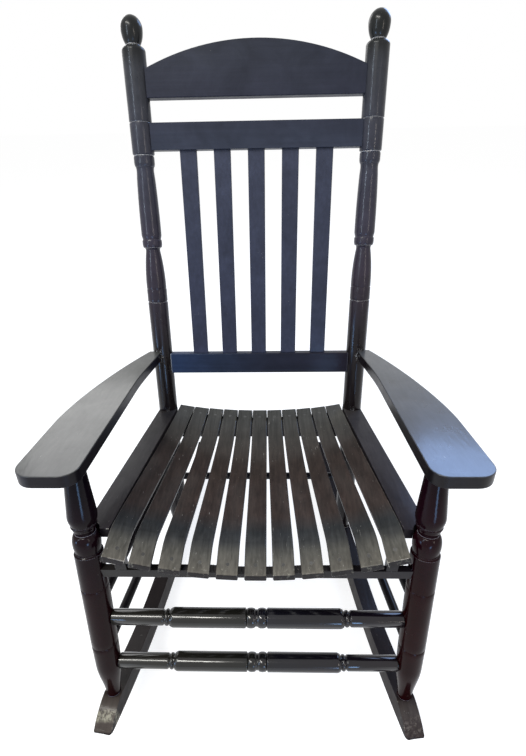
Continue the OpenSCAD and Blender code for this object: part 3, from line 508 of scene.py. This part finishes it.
# Radius of the long edges of each flat piece, in metres
EASE = {
    "arm": 0.0088, "rocker": 0.0042, "board": 0.0022, "seat_slat": 0.0021, "back_slat": 0.0016,
    "crest": 0.0026, "back_rail": 0.0022, "seat_rail": 0.0014, "block": 0.0008,
}

# Rounding of the runners' noses in plan, and where extra cuts give it its shape, as shares of it
RUNNER_END = 0.0085
NOSE_CUTS = (0.25, 0.6, 1.1)

EASED_TURN = math.radians(38)
SHADED_TURN = math.radians(32)
FLAT_TURN = math.radians(0.05)
SHORTEST_EDGE = 0.0012
WELD = 0.00002

# A point on the right leg's and post's axis, in millimetres of the level chair, and its lean back.
# Nothing is eased within the clear distance of an axis, where bores and hollowed ends are.
LEG_AXIS = (275.6, 0.0, 440.0, LEG_LEAN)
POST_AXIS = (227.0, 419.5, 412.6, POST_LEAN)
LEG_CLEAR = 0.0245
POST_CLEAR = 0.0240


def off_axis(point, axis):
    """Distance of a point from the leg or post on its own side."""
    side = 1.0 if point.x > 0 else -1.0
    x, y, z, lean = axis
    base = rolled(side * x, y, z)
    along = LEAN_BACK @ Vector((0.0, math.sin(lean), math.cos(lean)))
    offset = point - base
    return (offset - offset.dot(along) * along).length


def worth_easing(edge):
    """Long outer edges only, not the rims of bores, sockets and hollowed ends."""
    if len(edge.link_faces) != 2 or edge.calc_length() < SHORTEST_EDGE:
        return False
    if edge.calc_face_angle_signed(0.0) < EASED_TURN:
        return False
    middle = (edge.verts[0].co + edge.verts[1].co) / 2
    return off_axis(middle, LEG_AXIS) > LEG_CLEAR and off_axis(middle, POST_AXIS) > POST_CLEAR


def round_ends(bm, radius):
    """Draw both noses of a runner in, so that they are rounded as seen from above."""
    front, rear = min(v.co.y for v in bm.verts), max(v.co.y for v in bm.verts)
    for end, inward in ((front, 1.0), (rear, -1.0)):
        for step in NOSE_CUTS:
            bmesh.ops.bisect_plane(
                bm, geom=bm.verts[:] + bm.edges[:] + bm.faces[:],
                plane_co=(0.0, end + inward * radius * step, 0.0), plane_no=(0.0, 1.0, 0.0),
            )
        nose = [v for v in bm.verts if abs(v.co.y - end) < radius]
        middle = sum(v.co.x for v in nose) / len(nose)
        half = max(abs(v.co.x - middle) for v in nose)
        for v in nose:
            left_over = radius - abs(v.co.y - end)
            inset = radius - math.sqrt(radius * radius - left_over * left_over)
            v.co.x = middle + (v.co.x - middle) * (1.0 - inset / half)


def round_over(bm, edges, width):
    """Replace each edge by a narrow rounded strip."""
    bmesh.ops.bevel(
        bm, geom=edges, offset=width, offset_type="OFFSET", segments=5, profile=0.5,
        affect="EDGES", clamp_overlap=True,
    )


def clean_copy(name, ease):
    """The node's own surface as one welded mesh, with its outer edges eased."""
    source = nodes[name].data
    bm = bmesh.new()
    bm.from_mesh(source)
    bmesh.ops.remove_doubles(bm, verts=bm.verts, dist=WELD)
    bmesh.ops.dissolve_limit(bm, angle_limit=FLAT_TURN, verts=bm.verts, edges=bm.edges, delimit=set())
    if "rocker" in name:
        round_ends(bm, RUNNER_END)
    if ease:
        round_over(bm, [edge for edge in bm.edges if worth_easing(edge)], ease)
    for face in bm.faces:
        face.smooth = True
    mesh = bpy.data.meshes.new("m_" + name)
    bm.to_mesh(mesh)
    bm.free()
    return mesh


def dress(name, index):
    """The visible piece of one node, in its own paint."""
    ease = next((size for word, size in EASE.items() if word in name), 0.0)
    mesh = clean_copy(name, ease)
    piece = bpy.data.objects.new("v_" + name, mesh)
    bpy.context.scene.collection.objects.link(piece)
    mesh.set_sharp_from_angle(angle=SHADED_TURN)
    # Weighted normals keep long flat faces evenly shaded beside their narrow eased edges
    weigh = piece.modifiers.new("weigh", "WEIGHTED_NORMAL")
    weigh.keep_sharp = True
    mesh.materials.append(paint("paint_" + name, offset=offset_of(index), **LOOK[look_of(name)]))
    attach(piece, "root")
    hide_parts(name)


def dress_nails(nails):
    """The nails keep the CAD solids and only change their material."""
    steel = nail_steel()
    if nails.material_slots:
        for slot_item in nails.material_slots:
            slot_item.material = steel
    else:
        nails.data.materials.append(steel)


for place, node_name in enumerate(sorted(nodes)):
    if node_name == "seat_nails":
        dress_nails(nodes[node_name])
    else:
        dress(node_name, place)

# Floor

# Half the floor's width, and how far it lies under the runners so that no faces coincide
FLOOR_HALF = 14.0
FLOOR_DROP = 0.0006
FLOOR_GREY = 0.46
FLOOR_GLOW = 0.76


def seen_rays(n):
    """One where a ray comes from the camera or from a reflection or refraction."""
    path = n.add("ShaderNodeLightPath")
    bent = number(n, "ADD", (path, "Is Glossy Ray"), (path, "Is Transmission Ray"))
    total = number(n, "ADD", (path, "Is Camera Ray"), bent)
    total[0].use_clamp = True
    return total


def mix_by_rays(n, plain, seen, out):
    """One shader for the light on the chair, another for what the camera and gloss see."""
    both = n.add("ShaderNodeMixShader")
    n.link(*seen_rays(n), both, 0)
    n.link(plain, 0, both, 1)
    n.link(seen, 0, both, 2)
    n.link(both, 0, out, "Surface")


def floor_paint():
    """Pale matt floor, lifted to white where it is seen, that keeps the chair's shadow."""
    mat = bpy.data.materials.new("floor_pale")
    mat.use_nodes = True
    n = Nodes(mat)
    diffuse = n.add("ShaderNodeBsdfDiffuse")
    diffuse.inputs["Color"].default_value = (FLOOR_GREY, FLOOR_GREY, FLOOR_GREY, 1)
    glow = n.add("ShaderNodeEmission")
    glow.inputs["Color"].default_value = WHITE
    glow.inputs["Strength"].default_value = FLOOR_GLOW
    lit = n.add("ShaderNodeAddShader")
    n.link(diffuse, 0, lit, 0)
    n.link(glow, 0, lit, 1)
    mix_by_rays(n, diffuse, lit, n.add("ShaderNodeOutputMaterial"))
    return mat


floor_mesh = bpy.data.meshes.new("floor")
corners = [(x * FLOOR_HALF, y * FLOOR_HALF, 0) for x, y in ((-1, -1), (1, -1), (1, 1), (-1, 1))]
floor_mesh.from_pydata(corners, [], [(0, 1, 2, 3)])
floor_mesh.materials.append(floor_paint())
floor = bpy.data.objects.new("floor", floor_mesh)
floor.location.z = -FLOOR_DROP
bpy.context.scene.collection.objects.link(floor)

# World

WORLD_LIGHT = 0.5


def background(n, strength):
    """White light from all around."""
    node = n.add("ShaderNodeBackground")
    node.inputs["Color"].default_value = WHITE
    node.inputs["Strength"].default_value = strength
    return node


world = bpy.data.worlds.new("studio")
bpy.context.scene.world = world
world.use_nodes = True
sky = Nodes(world)
world_light, world_white = background(sky, WORLD_LIGHT), background(sky, 1.0)
mix_by_rays(sky, world_light, world_white, sky.add("ShaderNodeOutputWorld"))

# Lamps


def softbox(name, place, aim, size, power, colour=(1, 1, 1)):
    """A rectangular lamp at a place, turned to an aim point, hidden from the camera."""
    data = bpy.data.lights.new(name, "AREA")
    data.shape = "RECTANGLE"
    data.size, data.size_y = size
    data.energy = power
    data.color = colour
    lamp = bpy.data.objects.new(name, data)
    lamp.location = place
    lamp.visible_camera = False
    lamp.rotation_euler = (Vector(aim) - Vector(place)).to_track_quat("-Z", "Y").to_euler()
    bpy.context.scene.collection.objects.link(lamp)


CARD = (0.34, 0.26)
CARD_BLUE = (0.30, 0.55, 1.0)

softbox("key", (-1.2, -1.6, 3.0), aim=(0, 0, 0.5), size=(1.6, 1.2), power=8)
softbox(
    "long_strip", (-1.0, -1.2, 2.9), aim=(0, -0.2, 0.4), size=(1.9, 0.28), power=54,
    colour=(1.0, 0.98, 0.92),
)
softbox("right_card", (0.5, -1.8, 0.34), aim=(-0.27, -0.3, 0.45), size=CARD, power=5, colour=CARD_BLUE)
softbox("left_card", (-1.6, -1.05, 0.34), aim=(0.27, -0.3, 0.45), size=CARD, power=5, colour=CARD_BLUE)
softbox(
    "left_strip", (-1.7, -1.5, 1.7), aim=(-0.2, 0, 0.5), size=(0.09, 1.4), power=16,
    colour=(0.70, 0.84, 1.0),
)
softbox(
    "right_strip", (1.5, -1.9, 1.5), aim=(0.2, 0, 0.5), size=(0.07, 1.2), power=9,
    colour=(1.0, 0.90, 0.80),
)
softbox("left_window", (-1.5, 2.5, 2.0), aim=(-0.25, 0, 0.55), size=(1.0, 1.4), power=16)
softbox(
    "right_window", (1.75, 2.3, 2.5), aim=(0.27, 0, 0.55), size=(1.3, 1.4), power=46,
    colour=(0.34, 0.54, 1.0),
)

# Camera

# Fitted to the photo: lens and optical centre in pixels, the place in millimetres of the level chair
FOCAL_PX = 430.0
CENTRE_PX = (257.9, 395.0)
WIDTH_PX, HEIGHT_PX = 526.0, 756.0
SENSOR = 36.0
CAMERA_AT = (23.2, -483.2, 978.2)
YAW, PITCH, ROLL_ANGLE = (math.radians(a) for a in (-1.7, 30.5, 1.1))

ahead = Vector((math.sin(YAW), math.cos(YAW), 0.0))
forward = math.cos(PITCH) * ahead - math.sin(PITCH) * Vector((0.0, 0.0, 1.0))
level = Vector((math.cos(YAW), -math.sin(YAW), 0.0))
below = forward.cross(level)
right = math.cos(ROLL_ANGLE) * level + math.sin(ROLL_ANGLE) * below
down = -math.sin(ROLL_ANGLE) * level + math.cos(ROLL_ANGLE) * below
view_axes = Matrix((right, -down, -forward)).transposed().to_4x4()

camera_data = bpy.data.cameras.new("camera")
camera_data.sensor_width = SENSOR
camera_data.sensor_fit = "AUTO"
camera_data.lens = FOCAL_PX / HEIGHT_PX * SENSOR
camera_data.shift_x = (WIDTH_PX / 2 - CENTRE_PX[0]) / HEIGHT_PX
camera_data.shift_y = (CENTRE_PX[1] - HEIGHT_PX / 2) / HEIGHT_PX
camera_data.clip_start = 0.02
camera = bpy.data.objects.new("camera", camera_data)
bpy.context.scene.collection.objects.link(camera)
camera.matrix_world = Matrix.Translation(rolled(*CAMERA_AT)) @ LEAN_BACK @ view_axes
bpy.context.scene.camera = camera

bpy.context.scene.view_settings.view_transform = "Standard"
